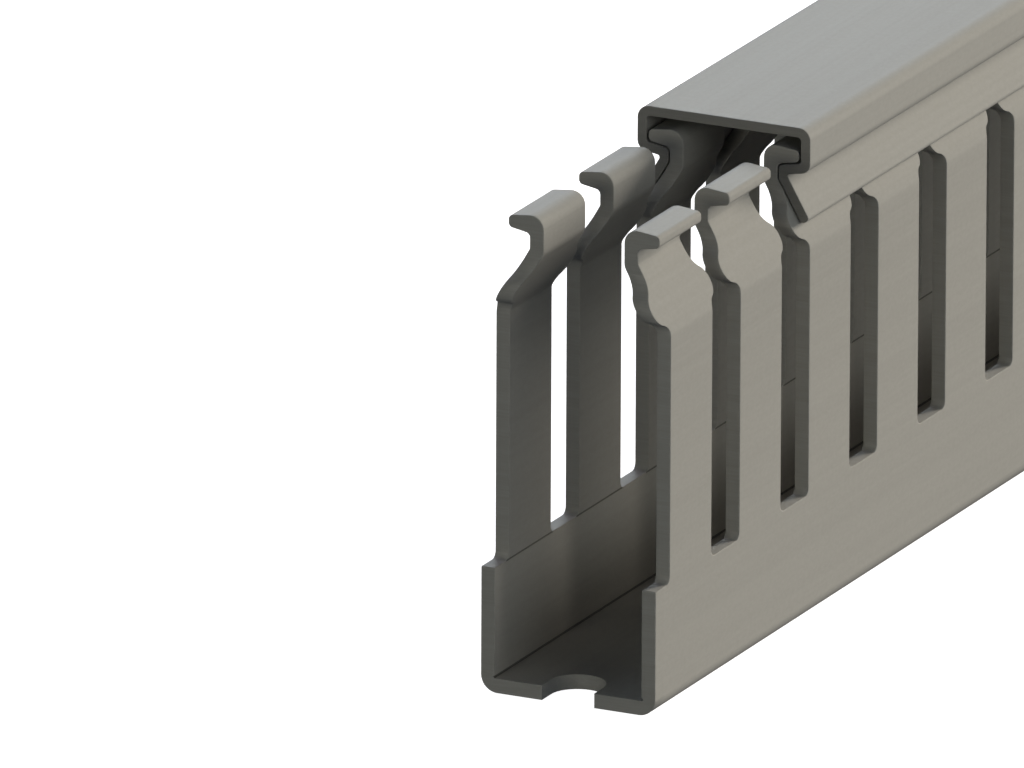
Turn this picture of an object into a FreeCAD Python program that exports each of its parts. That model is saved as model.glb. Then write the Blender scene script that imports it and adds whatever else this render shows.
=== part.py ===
import FreeCAD, Part

import math
import os

import Sketcher
from FreeCAD import Vector

# Slotted wire duct with its clip-on cover. X runs across it, Y along it and Z up.
# The origin is on the underside, halfway across and halfway along the duct.
# Lengths are in millimetres and angles in degrees.
SIZES = {
    # the duct as a whole
    "duct_length": 500.0,
    "duct_width": 15.0,
    "duct_height": 40.0,
    "wall": 1.2,
    "base_thickness": 1.2,
    "bottom_radius": 1.4,
    # slots between the fingers, open at the top
    "pitch": 12.5,
    "slot_width": 5.0,
    "slot_floor": 10.2,
    # round lobes narrow each slot to a throat, so that wires stay in.
    # Straight flanks run off them, at these angles from upright.
    "throat": 2.1,
    "lobe_radius": 1.2,
    "lobe_drop": 7.65,
    "lower_flank": 57.0,
    "upper_flank": 45.0,
    # the fingers lean in above the bend, to a neck under the hook.
    # The bend, the lobes and the hook lie this far down from the cover's top.
    "bend_drop": 9.3,
    "lean_angle": 30.0,
    "neck_inset": 2.85,
    # the hook that the cover grips
    "hook_drop": 3.14,
    "hook_reach": 1.83,
    "hook_angle": 10.0,
    "nose_height": 0.95,
    "crown_angle": 6.5,
    # score lines along the inside, where a finger or a whole side snaps off
    "score_depth": 0.25,
    "score_width": 0.3,
    "score_below_slot": 0.25,
    # oblong fixing holes along the middle of the base
    "hole_width": 4.5,
    "hole_length": 8.0,
    "hole_pitch": 100.0,
    # the cover
    "cover_length": 500.0,
    "cover_set_back": 27.5,
    "cover_thickness": 0.8,
    "cover_play": 0.05,
    "cover_corner_radius": 1.0,
    "grip_clearance": 0.1,
    "nose_clearance": 0.17,
    "heel_radius": 0.85,
    "lip_length": 4.0,
    "lip_tip_radius": 0.35,
    "grip_radius": 0.4,
}

# How far a cut runs past the surface that it opens through.
OVERCUT = 2.0
# How near an edge lies to the place that names it.
NEAR = 0.01


def fill_sheet(doc):
    """Puts the driving sizes in a sheet, one row each, with its name as the alias."""
    sheet = doc.addObject("Spreadsheet::Sheet", "sizes")
    for row, (name, value) in enumerate(SIZES.items(), start=1):
        sheet.set(f"A{row}", name)
        sheet.set(f"B{row}", str(value))
        sheet.setAlias(f"B{row}", name)
    doc.recompute()
    return sheet


def size(name):
    """A sheet cell as it is written in an expression."""
    return f"sizes.{name}"


def number(thing, expression):
    """What an expression comes to now, as a plain number."""
    return float(thing.evalExpression(expression))


def origin_feature(body, role):
    """A plane or axis of the body's own origin."""
    return next(f for f in body.Origin.OriginFeatures if f.Role == role)


def new_sketch(body, name, plane):
    """A sketch on one of the body's origin planes."""
    sketch = body.newObject("Sketcher::SketchObject", name)
    sketch.AttachmentSupport = [(origin_feature(body, plane), "")]
    sketch.MapMode = "FlatFace"
    return sketch


def bind(sketch, constraint, expression):
    """Adds a constraint whose value follows an expression."""
    index = sketch.addConstraint(constraint)
    sketch.setExpression(f"Constraints[{index}]", expression)


def hold_point(sketch, line, end, across, up):
    """Holds the end of a line at its (across, up) expressions from the sketch's origin."""
    for kind, axis, expression in (("DistanceX", -2, across), ("DistanceY", -1, up)):
        value = number(sketch, expression)
        if value == 0:
            sketch.addConstraint(Sketcher.Constraint("PointOnObject", line, end, axis))
        else:
            bind(sketch, Sketcher.Constraint(kind, -1, 1, line, end, value), expression)


def draw_outline(sketch, corners):
    """Draws a closed outline of straight lines through corners given as (across, up)."""
    points = [Vector(number(sketch, a), number(sketch, u), 0) for a, u in corners]
    count = len(corners)
    for n in range(count):
        line = Part.LineSegment(points[n], points[(n + 1) % count])
        sketch.addGeometry(line, False)
    for n, (across, up) in enumerate(corners):
        before = (n - 1) % count
        sketch.addConstraint(Sketcher.Constraint("Coincident", before, 2, n, 1))
        hold_point(sketch, n, 1, across, up)


def extrude_both_ways(body, sketch, name, length):
    """Pads a sketch by half the length to each side of its plane."""
    pad = body.newObject("PartDesign::Pad", name)
    pad.Profile = sketch
    pad.SideType = "Symmetric"
    pad.setExpression("Length", length)
    return pad


def mirror_across(body, feature, name):
    """Completes a half section with its mirror image in the middle plane."""
    mirror = body.newObject("PartDesign::Mirrored", name)
    mirror.Originals = [feature]
    mirror.MirrorPlane = (origin_feature(body, "YZ_Plane"), [""])
    mirror.Refine = True
    body.Tip = mirror
    return mirror


def long_edges(feature, corners):
    """Names the edges along Y that run through the given corners, on both sides."""
    places = [(number(feature, a), number(feature, u)) for a, u in corners]
    names = []
    for n, edge in enumerate(feature.Shape.Edges, start=1):
        start, end = (v.Point for v in edge.Vertexes)
        along = abs(start.x - end.x) < NEAR and abs(start.z - end.z) < NEAR
        if along and any(
            math.hypot(abs(start.x) - x, start.z - z) < NEAR for x, z in places
        ):
            names.append(f"Edge{n}")
    if len(names) != 2 * len(places):
        raise RuntimeError(f"{feature.Label}: {len(names)} edges found for rounding")
    return names


def round_edges(doc, body, feature, name, corners, radius):
    """Rounds the long edges at the given corners."""
    doc.recompute()
    fillet = body.newObject("PartDesign::Fillet", name)
    fillet.Base = (feature, long_edges(feature, corners))
    fillet.setExpression("Radius", radius)
    return fillet


def cut_through(body, sketch, name):
    """Cuts a sketch right through the body, to both sides of its plane."""
    pocket = body.newObject("PartDesign::Pocket", name)
    pocket.Profile = sketch
    pocket.Type = "ThroughAll"
    pocket.SideType = "Symmetric"
    return pocket


def repeat_along(body, feature, name, spacing):
    """Repeats a cut from the near end of the duct to the far end."""
    pattern = body.newObject("PartDesign::LinearPattern", name)
    pattern.Originals = [feature]
    pattern.Direction = (origin_feature(body, "Y_Axis"), [""])
    pattern.Mode = "Spacing"
    pattern.setExpression("Offset", spacing)
    pattern.setExpression(
        "Occurrences", f"floor({size('duct_length')} / {spacing} + 0.001) + 1"
    )
    body.Tip = pattern
    return pattern


class FingerSection:
    """Where the corners of a finger's section lie, as expressions."""

    outer = f"({size('duct_width')} / 2)"
    inner = f"({outer} - {size('wall')})"
    lean = f"tan({size('lean_angle')})"
    # an offset of a bent wall moves its bend along by this share of the offset
    shift = f"tan({size('lean_angle')} / 2)"
    bend = f"({size('duct_height')} - {size('bend_drop')})"
    neck = f"({outer} - {size('neck_inset')})"
    neck_inner = f"({neck} - {size('wall')})"
    neck_foot = f"({bend} + {size('neck_inset')} / {lean})"
    inner_bend = f"({bend} - {size('wall')} * {shift})"
    inner_neck_foot = f"({neck_foot} - {size('wall')} * {shift})"
    nose = f"({neck} + {size('hook_reach')})"
    slope = f"tan({size('hook_angle')})"
    hook = f"({size('duct_height')} - {size('hook_drop')})"
    lobe = f"({size('duct_height')} - {size('lobe_drop')})"
    nose_foot = f"({hook} + {size('hook_reach')} * {slope})"
    nose_top = f"({nose_foot} + {size('nose_height')})"
    crown_slope = f"tan({size('crown_angle')})"
    crown = f"({nose_top} + ({nose} - {neck_inner}) * {crown_slope})"


def score_corners(wall_x, height):
    """The three corners of a V-shaped score line in the inside of a wall, going down."""
    half = f"{size('score_width')} / 2"
    root = f"{wall_x} + {size('score_depth')}"
    return [(wall_x, f"{height} + {half}"), (root, height), (wall_x, f"{height} - {half}")]


def duct_section(body):
    """Half of the duct's section: base, wall, leaning finger and hook."""
    f = FingerSection
    base = size("base_thickness")
    finger_score = f"({size('slot_floor')} - {size('score_below_slot')})"
    side_score = f"({base} + {size('score_width')} / 2)"
    corners = [("0", "0"), (f.outer, "0"), (f.outer, f.bend), (f.neck, f.neck_foot)]
    corners += [(f.neck, f.hook), (f.nose, f.nose_foot), (f.nose, f.nose_top)]
    corners += [(f.neck_inner, f.crown), (f.neck_inner, f.inner_neck_foot)]
    corners += [(f.inner, f.inner_bend)]
    corners += score_corners(f.inner, finger_score)
    corners += score_corners(f.inner, side_score)
    corners += [("0", base)]
    sketch = new_sketch(body, "duct_section", "XZ_Plane")
    draw_outline(sketch, corners)
    return sketch


def slot_outline(body):
    """One slot seen from the side, with the lobes of the fingers beside it."""
    sketch = new_sketch(body, "slot_outline", "YZ_Plane")
    sketch.setExpression(".AttachmentOffset.Base.x", f"-{size('duct_length')} / 2")
    half = f"{size('slot_width')} / 2"
    top = f"{size('duct_height')} + {OVERCUT}"
    lobe_across = f"({size('throat')} / 2 + {size('lobe_radius')})"

    side_x = number(sketch, half)
    top_z = number(sketch, top)
    floor_z = number(sketch, size("slot_floor"))
    radius = number(sketch, size("lobe_radius"))
    lobe_x = number(sketch, lobe_across)
    lobe_z = number(sketch, FingerSection.lobe)
    lower = math.radians(number(sketch, size("lower_flank")))
    upper = math.radians(number(sketch, size("upper_flank")))

    # where the round lobe runs into its flanks, and where those meet the slot's side
    low_touch = (lobe_x - radius * math.cos(lower), lobe_z - radius * math.sin(lower))
    high_touch = (lobe_x - radius * math.cos(upper), lobe_z + radius * math.sin(upper))
    low_z = low_touch[1] - (side_x - low_touch[0]) / math.tan(lower)
    high_z = high_touch[1] + (side_x - high_touch[0]) / math.tan(upper)

    def line(start, end):
        segment = Part.LineSegment(Vector(*start, 0), Vector(*end, 0))
        return sketch.addGeometry(segment, False)

    def join(kind, one, one_end, other, other_end):
        sketch.addConstraint(Sketcher.Constraint(kind, one, one_end, other, other_end))

    def across_from_middle(side, geometry, point, value, expression):
        ends = (-1, 1, geometry, point) if side > 0 else (geometry, point, -1, 1)
        bind(sketch, Sketcher.Constraint("DistanceX", *ends, value), expression)

    floor = line((-side_x, floor_z), (side_x, floor_z))
    sketch.addConstraint(Sketcher.Constraint("Horizontal", floor))
    rule = Sketcher.Constraint("DistanceY", -1, 1, floor, 1, floor_z)
    bind(sketch, rule, size("slot_floor"))
    upper_sides = []
    for side, floor_end in ((1, 2), (-1, 1)):

        def at(point):
            return side * point[0], point[1]

        wall = line(at((side_x, floor_z)), at((side_x, low_z)))
        low_flank = line(at((side_x, low_z)), at(low_touch))
        turn = (math.pi - upper, math.pi + lower)
        first, last = 1, 2
        if side < 0:
            # the mirrored arc runs the other way round, so its ends swap
            turn = (-lower, upper)
            first, last = 2, 1
        circle = Part.Circle(Vector(side * lobe_x, lobe_z, 0), Vector(0, 0, 1), radius)
        lobe = sketch.addGeometry(Part.ArcOfCircle(circle, *turn), False)
        high_flank = line(at(high_touch), at((side_x, high_z)))
        upper_side = line(at((side_x, high_z)), at((side_x, top_z)))
        upper_sides.append(upper_side)

        join("Coincident", floor, floor_end, wall, 1)
        join("Coincident", wall, 2, low_flank, 1)
        join("Tangent", low_flank, 2, lobe, last)
        join("Tangent", lobe, first, high_flank, 1)
        join("Coincident", high_flank, 2, upper_side, 1)
        sketch.addConstraint(Sketcher.Constraint("Vertical", wall))
        sketch.addConstraint(Sketcher.Constraint("Vertical", upper_side))
        across_from_middle(side, wall, 1, side_x, half)
        across_from_middle(side, upper_side, 1, side_x, half)
        across_from_middle(side, lobe, 3, lobe_x, lobe_across)
        for thing, point, value, expression in (
            (lobe, 3, lobe_z, FingerSection.lobe),
            (upper_side, 2, top_z, top),
            (wall, 2, low_z, low_side_height(lobe_across, half)),
            (upper_side, 1, high_z, high_side_height(lobe_across, half)),
        ):
            rule = Sketcher.Constraint("DistanceY", -1, 1, thing, point, value)
            bind(sketch, rule, expression)
        bind(sketch, Sketcher.Constraint("Radius", lobe, radius), size("lobe_radius"))
    lid = line((side_x, top_z), (-side_x, top_z))
    join("Coincident", lid, 1, upper_sides[0], 2)
    join("Coincident", lid, 2, upper_sides[1], 2)
    return sketch


def low_side_height(lobe_across, half):
    """How high the slot's straight side ends, below the lobe."""
    radius, angle = size("lobe_radius"), size("lower_flank")
    reach = f"({half} - {lobe_across} + {radius} * cos({angle}))"
    return f"{FingerSection.lobe} - {radius} * sin({angle}) - {reach} / tan({angle})"


def high_side_height(lobe_across, half):
    """How high the slot's straight side begins again, above the lobe."""
    radius, angle = size("lobe_radius"), size("upper_flank")
    reach = f"({half} - {lobe_across} + {radius} * cos({angle}))"
    return f"{FingerSection.lobe} + {radius} * sin({angle}) + {reach} / tan({angle})"


def hole_outline(body):
    """An oblong fixing hole, its length along the duct."""
    sketch = new_sketch(body, "hole_outline", "XY_Plane")
    sketch.setExpression(".AttachmentOffset.Base.y", f"-{size('duct_length')} / 2")
    radius = f"{size('hole_width')} / 2"
    reach = f"({size('hole_length')} - {size('hole_width')}) / 2"
    r = number(sketch, radius)
    y = number(sketch, reach)
    up = Vector(0, 0, 1)
    far = Part.ArcOfCircle(Part.Circle(Vector(0, y, 0), up, r), 0, math.pi)
    near = Part.ArcOfCircle(Part.Circle(Vector(0, -y, 0), up, r), math.pi, 2 * math.pi)
    left = Part.LineSegment(Vector(-r, y, 0), Vector(-r, -y, 0))
    right = Part.LineSegment(Vector(r, -y, 0), Vector(r, y, 0))
    sketch.addGeometry([far, left, near, right], False)
    for one in range(4):
        sketch.addConstraint(Sketcher.Constraint("Tangent", one, 2, (one + 1) % 4, 1))
    sketch.addConstraint(Sketcher.Constraint("Vertical", 1))
    sketch.addConstraint(Sketcher.Constraint("Equal", 0, 2))
    sketch.addConstraint(Sketcher.Constraint("PointOnObject", 0, 3, -2))
    bind(sketch, Sketcher.Constraint("Radius", 0, r), radius)
    bind(sketch, Sketcher.Constraint("DistanceY", -1, 1, 0, 3, y), reach)
    bind(sketch, Sketcher.Constraint("DistanceY", 2, 3, -1, 1, y), reach)
    return sketch


def build_duct(doc):
    """The trough: extruded, rounded, then punched with slots and fixing holes."""
    f = FingerSection
    body = doc.addObject("PartDesign::Body", "duct_body")
    body.Label = "duct_body"
    half = extrude_both_ways(body, duct_section(body), "half_duct", size("duct_length"))
    whole = mirror_across(body, half, "whole_duct")
    rounded = round_edges(
        doc, body, whole, "bottom_rounding", [(f.outer, "0")], size("bottom_radius")
    )
    slot = cut_through(body, slot_outline(body), "slot")
    slots = repeat_along(body, slot, "slots", size("pitch"))
    hole = cut_through(body, hole_outline(body), "fixing_hole")
    holes = repeat_along(body, hole, "fixing_holes", size("hole_pitch"))
    doc.recompute()
    for before, after in ((rounded, slot), (slot, slots), (slots, hole), (hole, holes)):
        if after.Shape.Volume >= before.Shape.Volume:
            raise RuntimeError(f"{after.Label} cut nothing")
    return body


def cover_section(body):
    """Half of the cover's section: top, side, return flange and flared lip."""
    f = FingerSection
    sheet_wall = size("cover_thickness")
    gap = size("grip_clearance")
    top = size("duct_height")
    ceiling = f"({top} - {sheet_wall})"
    outer = f"({f.outer} - {size('cover_play')})"
    inner = f"({f.nose} + {size('nose_clearance')})"
    neck_in = f"({f.neck} + {gap})"
    neck_out = f"({neck_in} + {sheet_wall})"
    # the flange lies under the hook's underside, a clearance away
    square = f"cos({size('hook_angle')})"
    flange_at_neck = f"({f.hook} + {gap} * {f.slope} - {gap} / {square})"
    flange_drop = f"({sheet_wall} / {square})"

    def flange_top(across):
        return f"({flange_at_neck} + ({across} - {neck_in}) * {f.slope})"

    # the lip lies outside the leaning finger, a clearance away
    lip_foot = f"({f.neck_foot} + {gap} * {f.shift})"
    lip_shoulder = f"({lip_foot} + {sheet_wall} * {f.shift})"
    sine = f"sin({size('lean_angle')})"
    cosine = f"cos({size('lean_angle')})"
    tip_in_x = f"({neck_in} + {size('lip_length')} * {sine})"
    tip_in_z = f"({lip_foot} - {size('lip_length')} * {cosine})"
    tip_out_x = f"({tip_in_x} + {sheet_wall} * {cosine})"
    tip_out_z = f"({tip_in_z} + {sheet_wall} * {sine})"

    heel = (outer, f"({flange_top(outer)} - {flange_drop})")
    grip = (neck_in, flange_at_neck)
    tips = [(tip_out_x, tip_out_z), (tip_in_x, tip_in_z)]
    corners = [("0", top), (outer, top), heel]
    corners += [(neck_out, f"({flange_top(neck_out)} - {flange_drop})")]
    corners += [(neck_out, lip_shoulder)]
    corners += tips
    corners += [(neck_in, lip_foot), grip]
    corners += [(inner, flange_top(inner)), (inner, ceiling), ("0", ceiling)]
    sketch = new_sketch(body, "cover_section", "XZ_Plane")
    draw_outline(sketch, corners)
    return sketch, (outer, top), heel, grip, tips


def build_cover(doc):
    """The cover, set back along the duct as far as it has been slid."""
    body = doc.addObject("PartDesign::Body", "cover")
    body.Label = "cover"
    body.setExpression(
        ".Placement.Base.y",
        f"{size('cover_set_back')} + ({size('cover_length')} - {size('duct_length')}) / 2",
    )
    sketch, shoulder, heel, grip, tips = cover_section(body)
    half = extrude_both_ways(body, sketch, "half_cover", size("cover_length"))
    rounded = mirror_across(body, half, "whole_cover")
    for name, corners, radius in (
        ("cover_shoulders", [shoulder], "cover_corner_radius"),
        ("cover_heels", [heel], "heel_radius"),
        ("cover_grips", [grip], "grip_radius"),
        ("lip_tips", tips, "lip_tip_radius"),
    ):
        rounded = round_edges(doc, body, rounded, name, corners, size(radius))
    doc.recompute()
    return body


def check(doc, bodies):
    """Stops unless every object is sound and every piece is one valid solid."""
    for thing in doc.Objects:
        if "Invalid" in thing.State or "Error" in thing.State:
            raise RuntimeError(f"{thing.Label} failed: {thing.State}")
    for body in bodies:
        shape = body.Shape
        if shape.isNull() or not shape.isValid() or len(shape.Solids) != 1:
            raise RuntimeError(f"{body.Label} isn't one valid solid")


def main():
    doc = FreeCAD.newDocument("slotted_wire_duct")
    fill_sheet(doc)
    bodies = [build_duct(doc), build_cover(doc)]
    doc.recompute()
    check(doc, bodies)
    os.makedirs("parts", exist_ok=True)
    for body in bodies:
        body.Shape.exportStep(f"parts/{body.Label}.step")


main()
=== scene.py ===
import math

import bmesh
import bpy
from mathutils import Matrix, Vector


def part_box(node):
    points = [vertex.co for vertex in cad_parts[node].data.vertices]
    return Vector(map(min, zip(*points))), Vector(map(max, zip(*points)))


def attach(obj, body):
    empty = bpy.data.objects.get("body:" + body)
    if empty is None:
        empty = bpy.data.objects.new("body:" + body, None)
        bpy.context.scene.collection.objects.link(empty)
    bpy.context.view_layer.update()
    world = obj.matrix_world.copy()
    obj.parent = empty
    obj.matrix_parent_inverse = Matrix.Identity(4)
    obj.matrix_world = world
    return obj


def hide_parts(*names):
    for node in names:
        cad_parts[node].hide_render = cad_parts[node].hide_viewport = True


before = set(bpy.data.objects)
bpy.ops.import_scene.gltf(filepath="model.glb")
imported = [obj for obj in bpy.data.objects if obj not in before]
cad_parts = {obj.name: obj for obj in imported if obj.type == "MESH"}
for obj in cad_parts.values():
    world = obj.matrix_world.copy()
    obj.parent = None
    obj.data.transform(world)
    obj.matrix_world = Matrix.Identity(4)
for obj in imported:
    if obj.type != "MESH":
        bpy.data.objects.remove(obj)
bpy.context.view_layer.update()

# A slotted wire duct with its clip-on cover slid back. Lengths are in millimetres unless a
# name or comment says otherwise. X runs across the duct, Y along it and Z up, from the
# middle of the underside.
MM = 0.001

# The section of the duct: a wall bends inwards by LEAN to a neck, and ends in an outward
# hook with a nose and a sloped crown. Its outer and inner lines meet on the crown,
# CROWN_RUN out from the neck. HALF_TURN is how far a bend's inner corner lies from its
# outer one along the wall, for each millimetre of thickness. NECK_FOOT is the height at
# which the neck's outer side starts.
HALF_WIDTH = 7.5
WALL = 1.2
BASE = 1.2
BOTTOM_RADIUS = 1.4
INNER = HALF_WIDTH - WALL
BEND_Z = 30.7
LEAN = math.radians(30)
NECK_X = 4.65
HOOK_Z = 36.86
HOOK_SLOPE = math.tan(math.radians(10))
NOSE_X = 6.48
NOSE_HEIGHT = 0.95
CROWN_SLOPE = math.tan(math.radians(6.5))
OUTER_BEND_RADIUS = 2.0
INNER_BEND_RADIUS = 0.8
NECK_OUTER_RADIUS = 0.4
NECK_INNER_RADIUS = 1.1
HOOK_RADIUS = 0.4
NOSE_RADIUS = 0.4
CROWN_RADIUS = 1.1
CROWN_RUN = 1.5
HALF_TURN = math.tan(LEAN / 2)
NECK_FOOT = BEND_Z + (HALF_WIDTH - NECK_X) / math.tan(LEAN)

# The score line along the inside of each wall's foot, as (height, half width, depth), and
# the one across each finger's foot, as its depth and the rows of the slot's corner that it
# sinks.
FOOT_SCORE = (1.31, 0.11, 0.12)
FINGER_SCORE_DEPTH = 0.06
FINGER_SCORE_ROWS = (2, 3)

# One slot, seen from the side. Half of it is a chain of arcs from its floor up, each given
# as (centre across, centre up, radius) with the degrees at its ends. The finger is flat up
# to the first of BEND_ROWS, and the others divide the start of its bend.
PITCH = 12.5
SLOT_HALF = 2.5
SLOT_FLOOR = 10.2
FLOOR_CORNER = (1.9, 10.8, 0.6)
FLOOR_CORNER_ENDS = (-90, 0)
BEND_ROWS = (30.10, 30.21, 30.32)
SHOULDER = (1.70, 30.43, 0.8)
SHOULDER_ENDS = (0, 74)
LOBE = (2.25, 32.35, 1.2)
LOBE_ENDS = (253, 121)
FLARE = (0.70, 34.92, 1.8)
FLARE_ENDS = (-59, 0)

# The oblong fixing holes: HOLE_STRAIGHT is half the length of their straight part, and BAND
# half the width of the middle band of the base that they are in.
HOLE_RADIUS = 2.25
HOLE_STRAIGHT = 1.75
HOLE_PITCH = 100.0
BAND = 3.2

# the section of the cover; GRIP_GAP and NOSE_GAP are its clearances round the hook
COVER_HALF = 7.45
COVER_TOP = 40.0
SHEET = 0.8
GRIP_GAP = 0.1
NOSE_GAP = 0.17
LIP_LENGTH = 4.0
SHOULDER_RADIUS = 1.0
HEEL_RADIUS = 0.85
GRIP_RADIUS = 0.4
LIP_ROOT_RADIUS = 0.3
FLANGE_ROOT_RADIUS = 0.16
LIP_TIP_RADIUS = 0.35
INSIDE_RADIUS = 0.3

# how finely arcs are divided, and how far two faces turn where the edge between them is crisp
ARC_STEP = math.radians(11)
SHARP = math.radians(50)

# how near two places are that count as one: in sums, when faces are chosen, and when
# points are joined
ROUND_OFF = 1e-6
SAME_PLACE = 0.01
WELD = 0.002

# The small rounding of punched and sawn edges, in steps from one face round to the other:
# how far each step lies back from the cut, and how far in from the face. The middle step is
# halfway round a quarter circle. A sawn edge goes in from the face by SAWN_SHARE of that.
EDGE = 0.08
EDGE_MIDDLE = 0.293 * EDGE
ROUNDING = ((EDGE, 0.0), (EDGE_MIDDLE, EDGE_MIDDLE), (0.0, EDGE))
SAWN_SHARE = 0.8

# material slots on each piece; the scored slot's darker colour is painted shade in the score
# lines
EXTRUDED, CUT, SCORED_PAINTED_SHADE = 0, 1, 2

# base colours, and the factors that darken the score lines and the cover's sawn ends as painted
# shade
DUCT_COLOUR = (0.290, 0.277, 0.240)
COVER_COLOUR = (0.292, 0.280, 0.244)
FLOOR_COLOUR = (0.93, 0.89, 0.82)
SCORE_PAINTED_SHADE = 0.42
COVER_CUT_PAINTED_SHADE = 0.68
PVC_SPECULAR = 0.18

# the values between which nearly all of a noise lies
NOISE_LOW, NOISE_HIGH = 0.3, 0.7


def arc(centre_x, centre_z, radius, start, end):
    """Points on an arc, both ends included; the angles are in radians."""
    count = max(2, math.ceil(abs(end - start) / ARC_STEP))
    angles = [start + (end - start) * n / count for n in range(count + 1)]
    return [(centre_x + radius * math.cos(a), centre_z + radius * math.sin(a)) for a in angles]


def rounded(corners, closed=False):
    """A line through (x, z, radius) corners, with an arc at each corner that has a radius."""
    points = []
    count = len(corners)
    for n, (x, z, radius) in enumerate(corners):
        at_end = not closed and n in (0, count - 1)
        if at_end or radius == 0:
            points.append((x, z))
            continue
        corner = Vector((x, z))
        before = (Vector(corners[n - 1][:2]) - corner).normalized()
        after = (Vector(corners[(n + 1) % count][:2]) - corner).normalized()
        half = before.angle(after) / 2
        middle = corner + (before + after).normalized() * (radius / math.sin(half))
        first = corner + before * (radius / math.tan(half)) - middle
        last = corner + after * (radius / math.tan(half)) - middle
        start = math.atan2(first.y, first.x)
        turn = (math.atan2(last.y, last.x) - start + math.pi) % (2 * math.pi) - math.pi
        points += arc(middle.x, middle.y, radius, start, start + turn)
    return points


def across_at(chain, height):
    """Where an upward chain of (x, z) points is at a height."""
    for (x0, z0), (x1, z1) in zip(chain, chain[1:]):
        if z0 - ROUND_OFF <= height <= z1 + ROUND_OFF:
            share = 0 if z1 == z0 else (height - z0) / (z1 - z0)
            return x0 + (x1 - x0) * share
    raise ValueError(f"no point at height {height}")


def finger_chains():
    """The outer and inner lines of a finger's section, each from the foot upwards.

    Both run to one point on the crown, which only the outer one keeps.
    """
    nose_foot = HOOK_Z + (NOSE_X - NECK_X) * HOOK_SLOPE
    nose_top = nose_foot + NOSE_HEIGHT
    neck_inner = NECK_X - WALL
    crown = nose_top + (NOSE_X - neck_inner) * CROWN_SLOPE
    meeting = (neck_inner + CROWN_RUN, crown - CROWN_RUN * CROWN_SLOPE, 0)
    outer = [
        (HALF_WIDTH, BASE, 0),
        (HALF_WIDTH, BEND_Z, OUTER_BEND_RADIUS),
        (NECK_X, NECK_FOOT, NECK_OUTER_RADIUS),
        (NECK_X, HOOK_Z, HOOK_RADIUS),
        (NOSE_X, nose_foot, NOSE_RADIUS),
        (NOSE_X, nose_top, NOSE_RADIUS),
        meeting,
    ]
    inner = [
        (INNER, BASE, 0),
        (INNER, BEND_Z - WALL * HALF_TURN, INNER_BEND_RADIUS),
        (neck_inner, NECK_FOOT - WALL * HALF_TURN, NECK_INNER_RADIUS),
        (neck_inner, crown, CROWN_RADIUS),
        meeting,
    ]
    return rounded(outer), rounded(inner)[:-1]


def inset(outline, distance):
    """A closed outline of (x, z) points moved inwards by a distance."""
    count = len(outline)
    pairs = [(outline[n], outline[(n + 1) % count]) for n in range(count)]
    turning = sum(x0 * z1 - x1 * z0 for (x0, z0), (x1, z1) in pairs)
    normals = []
    for (x0, z0), (x1, z1) in pairs:
        along = Vector((x1 - x0, z1 - z0)).normalized()
        normals.append(Vector((-along.y, along.x)) * (1 if turning > 0 else -1))
    moved = []
    for n, point in enumerate(outline):
        before, after = normals[n - 1], normals[n]
        middle = (before + after) / (1 + before.dot(after))
        moved.append(tuple(Vector(point) + middle * distance))
    return moved


def slot_side(back):
    """Half of a slot's outline, upwards, as (half width, height) points; back widens it."""

    def bow(circle, ends, widened):
        x, z, radius = circle
        return arc(x, z, radius + widened, *map(math.radians, ends))

    points = bow(FLOOR_CORNER, FLOOR_CORNER_ENDS, back)
    points += [(SLOT_HALF + back, height) for height in BEND_ROWS]
    points += bow(SHOULDER, SHOULDER_ENDS, back)
    points += bow(LOBE, LOBE_ENDS, -back)[1:]
    points += bow(FLARE, FLARE_ENDS, back)[1:]
    return points


def finger_shape():
    """A finger's rings, one for each step of the rounding of its punched sides.

    Below the hook a ring is rows of (outer x, inner x, half length, height). The hook's
    ring is its outline of (x, z) points and its half length.
    """
    outer, inner = finger_chains()
    top = FLARE[1]
    start = (across_at(outer, top), top)
    end = (across_at(inner, top), top)
    hook = [start] + [p for p in outer if p[1] > top + SAME_PLACE]
    hook += [p for p in reversed(inner) if p[1] > top + SAME_PLACE] + [end]
    rings = []
    for back, depth in ROUNDING:
        rows = []
        for n, (half_slot, z) in enumerate(slot_side(back)):
            out_x, in_x = across_at(outer, z) - depth, across_at(inner, z) + depth
            if n in FINGER_SCORE_ROWS:
                in_x += FINGER_SCORE_DEPTH
            rows.append((out_x, in_x, PITCH / 2 - half_slot, z))
        outline = inset(hook, depth)
        outline[0] = (start[0] - depth, top)
        outline[-1] = (end[0] + depth, top)
        rings.append((rows, outline, PITCH / 2 - SLOT_HALF - back))
    return rings


class Shell:
    """Collects faces given by points in millimetres into one mesh."""

    def __init__(self):
        self.bm = bmesh.new()

    def face(self, points, material=EXTRUDED):
        """Adds one face, with points of its own until the piece is closed."""
        verts = [self.bm.verts.new(Vector(p) * MM) for p in points]
        face = self.bm.faces.new(verts)
        face.material_index = material
        face.smooth = True

    def tube(self, one, other, material=EXTRUDED):
        """Joins two closed loops of points that match one to one."""
        for n in range(len(one)):
            self.face([one[n - 1], one[n], other[n], other[n - 1]], material)

    def close(self, name, materials):
        """Joins the faces into an object, and marks its crisp edges."""
        bm = self.bm
        bmesh.ops.remove_doubles(bm, verts=bm.verts, dist=WELD * MM)
        bmesh.ops.recalc_face_normals(bm, faces=bm.faces)
        for edge in bm.edges:
            if not edge.is_manifold:
                middle = (edge.verts[0].co + edge.verts[1].co) / 2 / MM
                raise RuntimeError(f"{name} is open at {[round(c, 2) for c in middle]}")
            edge.smooth = edge.calc_face_angle() < SHARP
        mesh = bpy.data.meshes.new(name)
        bm.to_mesh(mesh)
        bm.free()
        for material in materials:
            mesh.materials.append(material)
        piece = bpy.data.objects.new(name, mesh)
        bpy.context.scene.collection.objects.link(piece)
        even = piece.modifiers.new("even_shading", "WEIGHTED_NORMAL")
        even.mode = "FACE_AREA"
        even.weight = 50
        even.keep_sharp = True
        return piece


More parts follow.
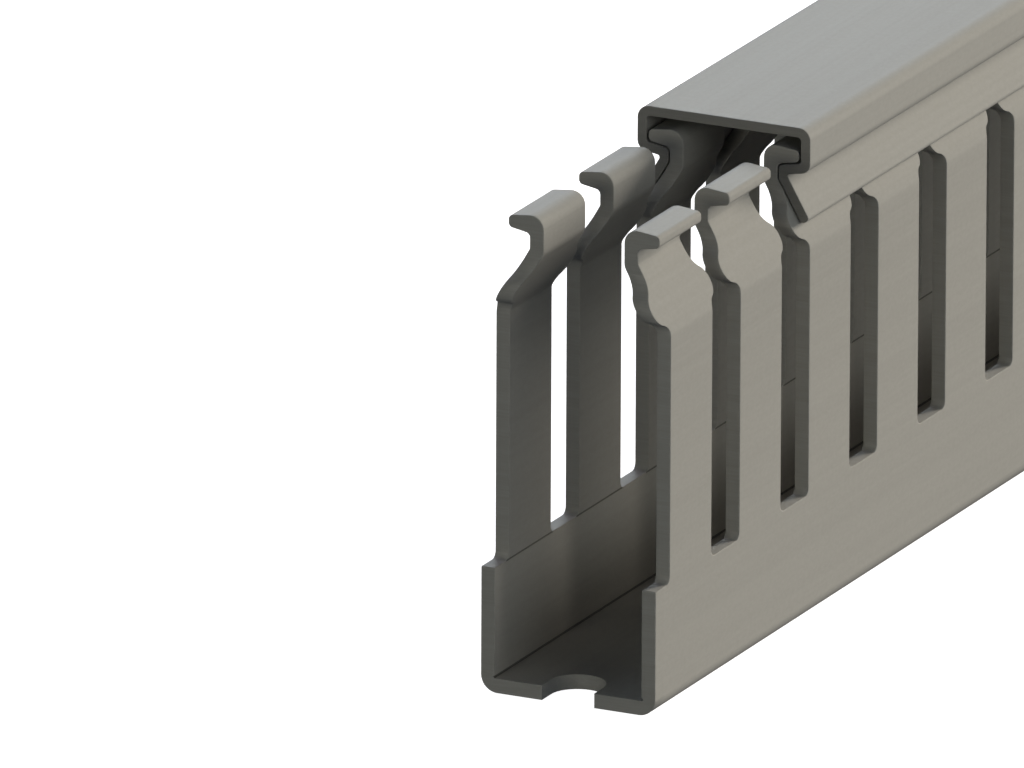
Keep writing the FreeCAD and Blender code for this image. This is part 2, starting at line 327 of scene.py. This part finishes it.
def add_finger(shell, rings, middle_y, side):
    """One finger, standing on the wall; side is 1 for +X and -1 for -X."""

    def at(x, y, z):
        return side * x, middle_y + y, z

    # the flat faces; strips take the inner one past the score line at its foot
    rows, outline, half = rings[0]
    flat = [row for row in rows if row[3] < BEND_ROWS[0] + SAME_PLACE]
    scored = flat[:FINGER_SCORE_ROWS[-1] + 2]
    for wall, above in ((0, flat), (1, flat[len(scored) - 1:])):
        up = [at(row[wall], row[2], row[3]) for row in above]
        down = [at(row[wall], -row[2], row[3]) for row in reversed(above)]
        shell.face(up + down)
    for n, ((o0, i0, h0, z0), (o1, i1, h1, z1)) in enumerate(zip(scored, scored[1:])):
        corners = [at(i0, -h0, z0), at(i0, h0, z0), at(i1, h1, z1), at(i1, -h1, z1)]
        # the score line's faces take the darker material: painted shade in the groove
        shell.face(corners, EXTRUDED if n < FINGER_SCORE_ROWS[0] - 1 else SCORED_PAINTED_SHADE)

    # the bent faces, and round the hook
    bent = rows[len(flat) - 1:]
    for (o0, i0, h0, z0), (o1, i1, h1, z1) in zip(bent, bent[1:]):
        shell.face([at(o0, -h0, z0), at(o0, h0, z0), at(o1, h1, z1), at(o1, -h1, z1)])
        shell.face([at(i0, -h0, z0), at(i0, h0, z0), at(i1, h1, z1), at(i1, -h1, z1)])
    for (x0, z0), (x1, z1) in zip(outline, outline[1:]):
        shell.face([at(x0, -half, z0), at(x0, half, z0), at(x1, half, z1), at(x1, -half, z1)])

    # the rounded edges and the punched face at either end
    for end in (-1, 1):
        for ring, (one, other) in enumerate(zip(rings, rings[1:])):
            material = EXTRUDED if ring == 0 else CUT
            strips = [[(row[wall], end * row[2], row[3]) for row in one[0]] for wall in (0, 1)]
            strips.append([(x, end * one[2], z) for x, z in one[1]])
            others = [[(row[wall], end * row[2], row[3]) for row in other[0]] for wall in (0, 1)]
            others.append([(x, end * other[2], z) for x, z in other[1]])
            for near, far in zip(strips, others):
                for n in range(len(near) - 1):
                    corners = [near[n], near[n + 1], far[n + 1], far[n]]
                    shell.face([at(*corner) for corner in corners], material)
        rows, outline, half = rings[-1]
        for (o0, i0, h0, z0), (o1, i1, h1, z1) in zip(rows, rows[1:]):
            corners = [(o0, h0, z0), (i0, h0, z0), (i1, h1, z1), (o1, h1, z1)]
            shell.face([at(x, end * h, z) for x, h, z in corners], CUT)
        shell.face([at(x, end * half, z) for x, z in outline], CUT)


def wall_section():
    """The outline of one wall below the slots and its part of the base, out and back in."""
    centre = HALF_WIDTH - BOTTOM_RADIUS, BOTTOM_RADIUS
    points = [(BAND, 0.0)] + arc(*centre, BOTTOM_RADIUS, -math.pi / 2, 0)
    points += [(HALF_WIDTH - depth, SLOT_FLOOR - back) for back, depth in ROUNDING]
    points += [(INNER + depth, SLOT_FLOOR - back) for back, depth in reversed(ROUNDING)]
    height, half, depth = FOOT_SCORE
    points += [(INNER, height + half), (INNER + depth, height + half / 2)]
    points += [(INNER + depth, height - half / 2), (INNER, height - half)]
    points.append((BAND, BASE))
    return points


def in_foot_score(x, z):
    """Whether a point of the wall's section is inside the score line at the wall's foot."""
    height, half, depth = FOOT_SCORE
    return INNER < x < INNER + 2 * depth and abs(z - height) < half


def covers(low, high, near, far):
    """Whether the stretch from low to high holds the one from near to far."""
    return low - SAME_PLACE < near and far < high + SAME_PLACE


def add_walls(shell, stations, feet):
    """The lower walls and outer base; under a finger's foot the wall's top stays open."""
    section = wall_section()
    for near, far in zip(stations, stations[1:]):
        under_foot = any(covers(low, high, near, far) for low, high in feet)
        for (x0, z0), (x1, z1) in zip(section, section[1:]):
            on_top = min(z0, z1) > SLOT_FLOOR - EDGE - SAME_PLACE
            if on_top and under_foot:
                continue
            material = CUT if on_top else EXTRUDED
            # faces in the foot's score line take the darker material: painted shade in the
            # groove
            if in_foot_score((x0 + x1) / 2, (z0 + z1) / 2):
                material = SCORED_PAINTED_SHADE
            for side in (-1, 1):
                corners = [(x0, near, z0), (x0, far, z0), (x1, far, z1), (x1, near, z1)]
                shell.face([(side * x, y, z) for x, y, z in corners], material)


def add_end(shell, outline, y, inwards):
    """Closes a sawn end at y with a slightly rounded rim; inwards is 1 or -1 along Y."""
    rings = []
    for back, depth in ROUNDING:
        rings.append([(x, y + inwards * back, z) for x, z in inset(outline, depth * SAWN_SHARE)])
    shell.tube(rings[0], rings[1], CUT)
    shell.tube(rings[1], rings[2], CUT)
    shell.face(rings[2], CUT)


def hole_side(middle, near, far):
    """Half of an oblong hole as (x, y) points from near to far, cut off at the duct's ends."""
    points = arc(0, middle - HOLE_STRAIGHT, HOLE_RADIUS, -math.pi / 2, 0)
    points += arc(0, middle + HOLE_STRAIGHT, HOLE_RADIUS, 0, math.pi / 2)
    if middle <= near + EDGE:
        points = [(HOLE_RADIUS, near)] + [p for p in points if p[1] > near]
    if middle >= far - EDGE:
        points = [p for p in points if p[1] < far] + [(HOLE_RADIUS, far)]
    return points


def add_base(shell, stations, holes):
    """The middle band of the base, with the fixing holes."""
    # a hole's own face goes on to the far edge of the finger's foot on either side
    reach = PITCH - FLOOR_CORNER[0]
    near_end, far_end = stations[0], stations[-1]
    spans = []
    for middle in holes:
        low, high = max(near_end, middle - reach), min(far_end, middle + reach)
        spans.append((low, high))
        rim = hole_side(middle, near_end, far_end)
        sides = [(BAND, y) for y in stations if covers(low, high, y, y)]
        before = [] if low >= middle else [(0, low)]
        after = [] if high <= middle else [(0, high)]
        outline = rim + after + sides[::-1] + before
        for side in (-1, 1):
            for z in (0.0, BASE):
                shell.face([(side * x, y, z) for x, y in outline])
            for (x0, y0), (x1, y1) in zip(rim, rim[1:]):
                corners = [(x0, y0, 0.0), (x1, y1, 0.0), (x1, y1, BASE), (x0, y0, BASE)]
                shell.face([(side * x, y, z) for x, y, z in corners], CUT)
    for near, far in zip(stations, stations[1:]):
        if any(covers(low, high, near, far) for low, high in spans):
            continue
        for side in (-1, 1):
            for z in (0.0, BASE):
                corners = [(0, near), (side * BAND, near), (side * BAND, far), (0, far)]
                shell.face([(x, y, z) for x, y in corners])


def build_duct(materials):
    """The trough with its fingers, one extrusion punched with slots and fixing holes."""
    low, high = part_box("duct_body")
    near, far = low[1] / MM, high[1] / MM
    pitches = round((far - near) / PITCH)
    middles = [near + (n + 0.5) * PITCH for n in range(pitches)]
    half_foot = PITCH / 2 - FLOOR_CORNER[0]
    feet = [(middle - half_foot, middle + half_foot) for middle in middles]
    stations = [near + EDGE] + [y for foot in feet for y in foot] + [far - EDGE]
    holes = [near + n * HOLE_PITCH for n in range(round((far - near) / HOLE_PITCH) + 1)]

    shell = Shell()
    rings = finger_shape()
    for middle in middles:
        for side in (-1, 1):
            add_finger(shell, rings, middle, side)
    add_walls(shell, stations, feet)
    add_base(shell, stations, holes)
    half_end = [(HOLE_RADIUS, 0.0)] + wall_section() + [(HOLE_RADIUS, BASE)]
    for side in (-1, 1):
        outline = [(side * x, z) for x, z in half_end]
        add_end(shell, outline, near, 1)
        add_end(shell, outline, far, -1)
    return shell.close("slotted_trough", materials)


def cover_half():
    """The right half of the cover's section, from outside round to inside.

    The corners are (x, z, radius), from the top's outer one to the ceiling's inner one.
    """
    neck_in = NECK_X + GRIP_GAP
    neck_out = neck_in + SHEET
    inner = NOSE_X + NOSE_GAP
    ceiling = COVER_TOP - SHEET
    # a thickness divided by this is a height straight up through the sloped flange
    slant = math.cos(math.atan(HOOK_SLOPE))
    at_neck = HOOK_Z + GRIP_GAP * HOOK_SLOPE - GRIP_GAP / slant
    drop = SHEET / slant

    def flange(x):
        """How high the flange's upper face is at x."""
        return at_neck + (x - neck_in) * HOOK_SLOPE

    lip_foot = NECK_FOOT + GRIP_GAP * HALF_TURN
    tip_x = neck_in + LIP_LENGTH * math.sin(LEAN)
    tip_z = lip_foot - LIP_LENGTH * math.cos(LEAN)
    return [
        (COVER_HALF, COVER_TOP, SHOULDER_RADIUS),
        (COVER_HALF, flange(COVER_HALF) - drop, HEEL_RADIUS),
        (neck_out, flange(neck_out) - drop, FLANGE_ROOT_RADIUS),
        (neck_out, lip_foot + SHEET * HALF_TURN, LIP_ROOT_RADIUS),
        (tip_x + SHEET * math.cos(LEAN), tip_z + SHEET * math.sin(LEAN), LIP_TIP_RADIUS),
        (tip_x, tip_z, LIP_TIP_RADIUS),
        (neck_in, lip_foot, LIP_ROOT_RADIUS),
        (neck_in, at_neck, GRIP_RADIUS),
        (inner, flange(inner), INSIDE_RADIUS),
        (inner, ceiling, INSIDE_RADIUS),
    ]


def build_cover(materials):
    """The cover, one closed section drawn out along the duct."""
    low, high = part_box("cover")
    near, far = low[1] / MM, high[1] / MM
    right = cover_half()
    left = [(-x, z, radius) for x, z, radius in reversed(right)]
    outline = rounded(right + left, closed=True)
    shell = Shell()
    ends = near + EDGE, far - EDGE
    shell.tube(*[[(x, y, z) for x, z in outline] for y in ends])
    add_end(shell, outline, near, 1)
    add_end(shell, outline, far, -1)
    return shell.close("clip_on_cover", materials)


class Nodes:
    """A short way to write a material's nodes."""

    def __init__(self, name):
        self.material = bpy.data.materials.new(name)
        self.material.use_nodes = True
        self.tree = self.material.node_tree
        self.tree.nodes.clear()

    def add(self, kind, settings=None, **inputs):
        """Adds a node; an input is a number, a colour or another node's output."""
        node = self.tree.nodes.new(kind)
        for key, value in (settings or {}).items():
            setattr(node, key, value)
        for key, value in inputs.items():
            socket = node.inputs[key.replace("_", " ")]
            if isinstance(value, bpy.types.NodeSocket):
                self.tree.links.new(value, socket)
            else:
                socket.default_value = value
        return node

    def place(self, across, along, up):
        """Places on the piece, counted in patches of these sizes in millimetres."""
        coordinates = self.add("ShaderNodeTexCoord").outputs["Object"]
        scale = (1 / (across * MM), 1 / (along * MM), 1 / (up * MM))
        return self.add("ShaderNodeMapping", Vector=coordinates, Scale=scale).outputs["Vector"]

    def noise(self, across, along, up, detail=2.0):
        """Smooth noise from 0 to 1 whose blobs have these sizes in millimetres."""
        where = self.place(across, along, up)
        return self.add("ShaderNodeTexNoise", Vector=where, Scale=1.0, Detail=detail).outputs[0]

    def between(self, share, low, high):
        """A number from low to high as share goes from NOISE_LOW to NOISE_HIGH."""
        node = self.add(
            "ShaderNodeMapRange",
            Value=share,
            From_Min=NOISE_LOW,
            From_Max=NOISE_HIGH,
            To_Min=low,
            To_Max=high,
        )
        return node.outputs["Result"]

    def tint(self, share, low, high):
        """A colour from low to high as share goes from NOISE_LOW to NOISE_HIGH."""
        ramp = self.add("ShaderNodeValToRGB", Fac=share)
        stops = ramp.color_ramp.elements
        for stop, position, colour in zip(stops, (NOISE_LOW, NOISE_HIGH), (low, high)):
            stop.position = position
            stop.color = (*colour, 1)
        return ramp.outputs["Color"]

    def times(self, one, other):
        """One colour multiplied by another; the mix node's sockets go by number."""
        factor, first, second, result = 0, 6, 7, 2
        node = self.add("ShaderNodeMix", {"data_type": "RGBA", "blend_type": "MULTIPLY"})
        node.inputs[factor].default_value = 1.0
        self.tree.links.new(one, node.inputs[first])
        self.tree.links.new(other, node.inputs[second])
        return node.outputs[result]

    def bump(self, height, depth, strength, under=None):
        """Surface relief of a depth in millimetres, on top of another relief if one is given."""
        node = self.add("ShaderNodeBump", Height=height, Strength=strength, Distance=depth * MM)
        if under is not None:
            self.tree.links.new(under, node.inputs["Normal"])
        return node.outputs["Normal"]

    def finish(self, colour, roughness, normal, specular):
        """The surface's shader; returns the finished material."""
        shader = self.add(
            "ShaderNodeBsdfPrincipled", Base_Color=colour, Roughness=roughness, Normal=normal
        )
        shader.inputs["Specular IOR Level"].default_value = specular
        self.add("ShaderNodeOutputMaterial", Surface=shader.outputs["BSDF"])
        return self.material


def shade(colour, factor):
    """A colour made lighter or darker by a factor."""
    return tuple(c * factor for c in colour)


def extruded_pvc(name, colour):
    """Rigid PVC as the die leaves it: faint lines along the length and a fine matt grain."""
    nodes = Nodes(name)
    clouds = nodes.noise(14, 60, 14)
    lines = nodes.noise(0.45, 160, 0.45, detail=3.0)
    broad_lines = nodes.noise(2.2, 260, 2.2)
    grain = nodes.noise(0.11, 0.16, 0.11)
    flecks = nodes.noise(0.28, 0.5, 0.28, detail=4.0)

    mottled = nodes.tint(clouds, shade(colour, 0.985), shade(colour, 1.015))
    lined = nodes.tint(lines, (0.975, 0.975, 0.975), (1.02, 1.02, 1.02))
    base = nodes.times(mottled, lined)
    specked = nodes.tint(flecks, (0.965, 0.965, 0.96), (1.02, 1.02, 1.02))
    base = nodes.times(base, specked)

    roughness = nodes.between(broad_lines, 0.54, 0.58)
    relief = nodes.bump(lines, 0.008, 0.4)
    relief = nodes.bump(broad_lines, 0.005, 0.3, relief)
    relief = nodes.bump(grain, 0.006, 0.5, relief)
    return nodes.finish(base, roughness, relief, PVC_SPECULAR)


def cut_pvc(name, colour):
    """PVC where a punch or saw went through: duller, with fine drag lines across the wall."""
    nodes = Nodes(name)
    drag = nodes.noise(3.5, 0.10, 0.16, detail=3.0)
    chatter = nodes.noise(6.0, 0.7, 0.7)
    grain = nodes.noise(0.09, 0.09, 0.09)

    base = nodes.tint(drag, shade(colour, 0.94), shade(colour, 1.04))
    patches = nodes.tint(chatter, (0.95, 0.95, 0.95), (1.03, 1.03, 1.03))
    base = nodes.times(base, patches)

    roughness = nodes.between(drag, 0.52, 0.68)
    relief = nodes.bump(drag, 0.010, 0.5)
    relief = nodes.bump(grain, 0.006, 0.5, relief)
    return nodes.finish(base, roughness, relief, PVC_SPECULAR)


def backdrop_paper(name, colour):
    """Matt paper with a barely visible tooth, lit from behind until it is white."""
    nodes = Nodes(name)
    fibres = nodes.noise(1.5, 1.5, 1.5, detail=4.0)
    base = nodes.tint(fibres, shade(colour, 0.995), shade(colour, 1.005))
    relief = nodes.bump(fibres, 0.01, 0.1)
    roughness = nodes.between(fibres, 0.9, 0.95)
    paper = nodes.finish(base, roughness, relief, specular=0.1)
    shader = nodes.tree.nodes["Principled BSDF"]
    shader.inputs["Emission Color"].default_value = (1.0, 1.0, 1.0, 1)
    shader.inputs["Emission Strength"].default_value = 1.0
    return paper


def add_floor(material):
    """A plain pale floor just under the duct; it isn't part of the object.

    It sends no light to the object and isn't mirrored in it, so only the camera sees it.
    """
    half, height = 6000.0, -0.02
    bm = bmesh.new()
    corners = [(-half, -half), (half, -half), (half, half), (-half, half)]
    bm.faces.new([bm.verts.new(Vector((x, y, height)) * MM) for x, y in corners])
    mesh = bpy.data.meshes.new("floor")
    bm.to_mesh(mesh)
    bm.free()
    mesh.materials.append(material)
    floor = bpy.data.objects.new("floor", mesh)
    bpy.context.scene.collection.objects.link(floor)
    floor.visible_diffuse = False
    floor.visible_glossy = False


def add_camera():
    """The photograph's view, from above and to the right of the near end; angles in degrees.

    The photograph is a parallel projection, which a very long lens comes near to. The lens is
    not made any longer than this one. The other views keep the lens, and a longer one would
    put the object past their far limit.
    """
    focus = Vector((-15.46, -228.14, 17.62)) * MM
    azimuth, elevation, roll = 25.79, 17.66, 0.23
    width_at_focus = 79.89 * MM
    data = bpy.data.cameras.new("camera")
    data.lens = 1250
    data.sensor_width = 36
    data.clip_start = 0.1
    data.clip_end = 100
    turn = (
        Matrix.Rotation(math.radians(azimuth), 4, "Z")
        @ Matrix.Rotation(math.radians(90 - elevation), 4, "X")
        @ Matrix.Rotation(math.radians(roll), 4, "Z")
    )
    back = turn.to_3x3() @ Vector((0, 0, 1))
    distance = width_at_focus * data.lens / data.sensor_width
    camera = bpy.data.objects.new("camera", data)
    camera.matrix_world = Matrix.Translation(focus + back * distance) @ turn
    bpy.context.scene.collection.objects.link(camera)
    bpy.context.scene.camera = camera


def add_panel(name, place, target, size, power, colour):
    """A soft rectangular light; place and target are in metres, power in watts."""
    data = bpy.data.lights.new(name, "AREA")
    data.shape = "RECTANGLE"
    data.size, data.size_y = size
    data.energy = power
    data.color = colour
    lamp = bpy.data.objects.new(name, data)
    direction = Vector(target) - Vector(place)
    turn = direction.to_track_quat("-Z", "Y").to_matrix().to_4x4()
    lamp.matrix_world = Matrix.Translation(Vector(place)) @ turn
    lamp.visible_camera = False
    bpy.context.scene.collection.objects.link(lamp)
    return lamp


def add_lights():
    """Soft panels behind, to the left and to the right, and a weak one low in front.

    The tall one stands far behind to the right and grazes the right wall, so that little
    of its light falls in through the slots. It gives no highlight of its own.
    """
    near_end, far_right = (0, -0.22, 0.02), (1.28, 2.94, 0.75)
    add_panel("back_panel", (-0.62, 1.55, 0.66), near_end, (1.25, 0.42), 16.5, (0.87, 0.96, 1.0))
    add_panel("left_panel", (-1.55, 0.55, 0.68), (0, 0, 0), (1.0, 0.6), 17, (0.88, 0.85, 1.0))
    add_panel("right_panel", (1.6, -0.22, 0.5), near_end, (2.6, 0.7), 13, (0.94, 0.98, 1.0))
    tall = add_panel("tall_panel", far_right, near_end, (0.8, 1.35), 252, (1.0, 0.95, 0.9))
    tall.visible_glossy = False
    add_panel("front_panel", (-0.1, -1.6, 0.12), (0, 0, 0.02), (0.9, 0.5), 6.1, (1.0, 1.0, 0.92))


def add_world():
    """A dim even fill, which the camera sees as a white backdrop beyond the floor."""
    world = bpy.data.worlds.new("studio")
    world.use_nodes = True
    tree = world.node_tree
    fill = tree.nodes["Background"]
    fill.inputs["Color"].default_value = (0.25, 0.48, 1.0, 1)
    fill.inputs["Strength"].default_value = 0.055
    backdrop = tree.nodes.new("ShaderNodeBackground")
    backdrop.inputs["Color"].default_value = (1.0, 1.0, 1.0, 1)
    backdrop.inputs["Strength"].default_value = 1.0
    rays = tree.nodes.new("ShaderNodeLightPath")
    choice = tree.nodes.new("ShaderNodeMixShader")
    tree.links.new(rays.outputs["Is Camera Ray"], choice.inputs[0])
    tree.links.new(fill.outputs["Background"], choice.inputs[1])
    tree.links.new(backdrop.outputs["Background"], choice.inputs[2])
    tree.links.new(choice.outputs["Shader"], tree.nodes["World Output"].inputs["Surface"])
    bpy.context.scene.world = world


def set_colour_management():
    """Shows colours as they are lit, with no film curve."""
    view = bpy.context.scene.view_settings
    view.view_transform = "Standard"
    view.look = "None"


def main():
    """Builds the two pieces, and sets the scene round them."""
    duct = build_duct(
        [
            extruded_pvc("duct_pvc_extruded", DUCT_COLOUR),
            cut_pvc("duct_pvc_cut", DUCT_COLOUR),
            # the score lines' material is darkened as painted shade
            cut_pvc("duct_pvc_scored_painted_shade", shade(DUCT_COLOUR, SCORE_PAINTED_SHADE)),
        ]
    )
    cover = build_cover(
        [
            extruded_pvc("cover_pvc_extruded", COVER_COLOUR),
            # the cover's sawn ends are darkened as painted shade
            cut_pvc("cover_pvc_cut_painted_shade", shade(COVER_COLOUR, COVER_CUT_PAINTED_SHADE)),
        ]
    )
    for piece, node, body, slot in (
        (duct, "duct_body", "duct", "duct_pvc"),
        (cover, "cover", "cover", "cover_pvc"),
    ):
        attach(piece, body)
        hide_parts(node)
    add_floor(backdrop_paper("floor_paper", FLOOR_COLOUR))
    add_camera()
    add_lights()
    add_world()
    set_colour_management()


main()
